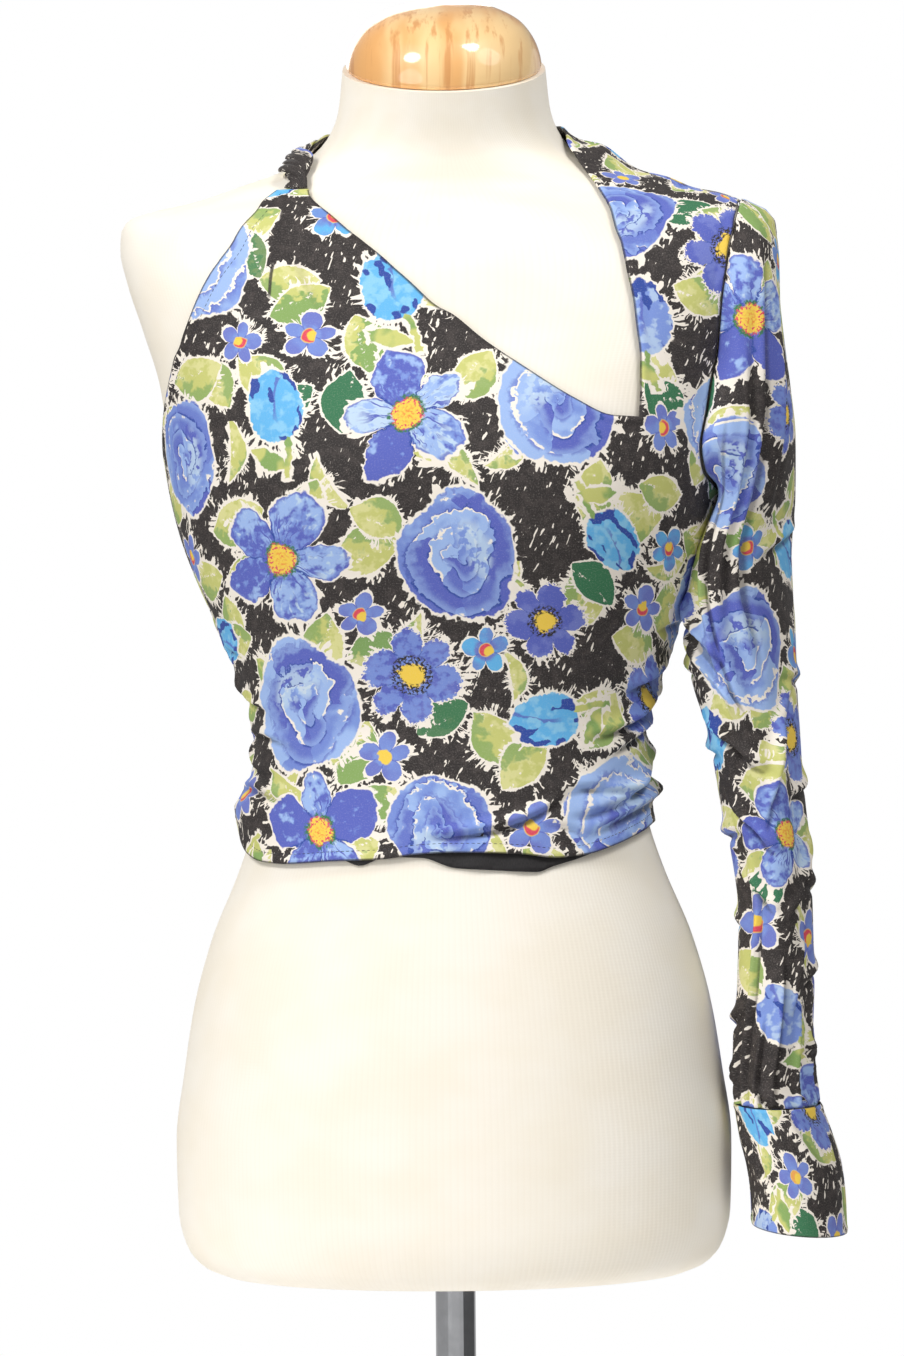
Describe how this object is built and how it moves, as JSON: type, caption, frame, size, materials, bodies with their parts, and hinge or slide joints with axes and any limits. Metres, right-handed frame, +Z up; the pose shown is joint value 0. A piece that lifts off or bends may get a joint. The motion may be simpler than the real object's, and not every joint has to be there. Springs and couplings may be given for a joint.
{
  "type": "long-sleeve blouse on a dress form",
  "caption": "Cropped asymmetric blouse with a long sleeve, a slanted neckline, a bare shoulder with a twisted strap and gathered sides, worn by a limbless dress form on a pole stand.",
  "frame": {"origin": "centre of the underside of the stand's base, on the axis of the pole", "axes": "+Z up, -Y towards the front of the blouse, +X towards the side with the sleeve"},
  "size_m": [0.4298, 0.3, 0.974],
  "materials": {
    "jersey": "matte cream cotton jersey stretched over the form",
    "pine": "clear lacquered pine",
    "chrome": "polished chrome plate on steel",
    "printed_cloth": "smooth matte crepe with a floral print on a black ground",
    "black_lining": "plain black lining cloth"
  },
  "bodies": {
    "root": {"dress_form_body": "jersey", "neck_cap": "pine", "stand_base": "chrome", "stand_pole": "chrome", "front": "printed_cloth", "back": "printed_cloth", "sleeve": "printed_cloth", "cuff": "printed_cloth", "shoulder_twist": "printed_cloth", "front_lining": "black_lining"}
  },
  "joints": []
}
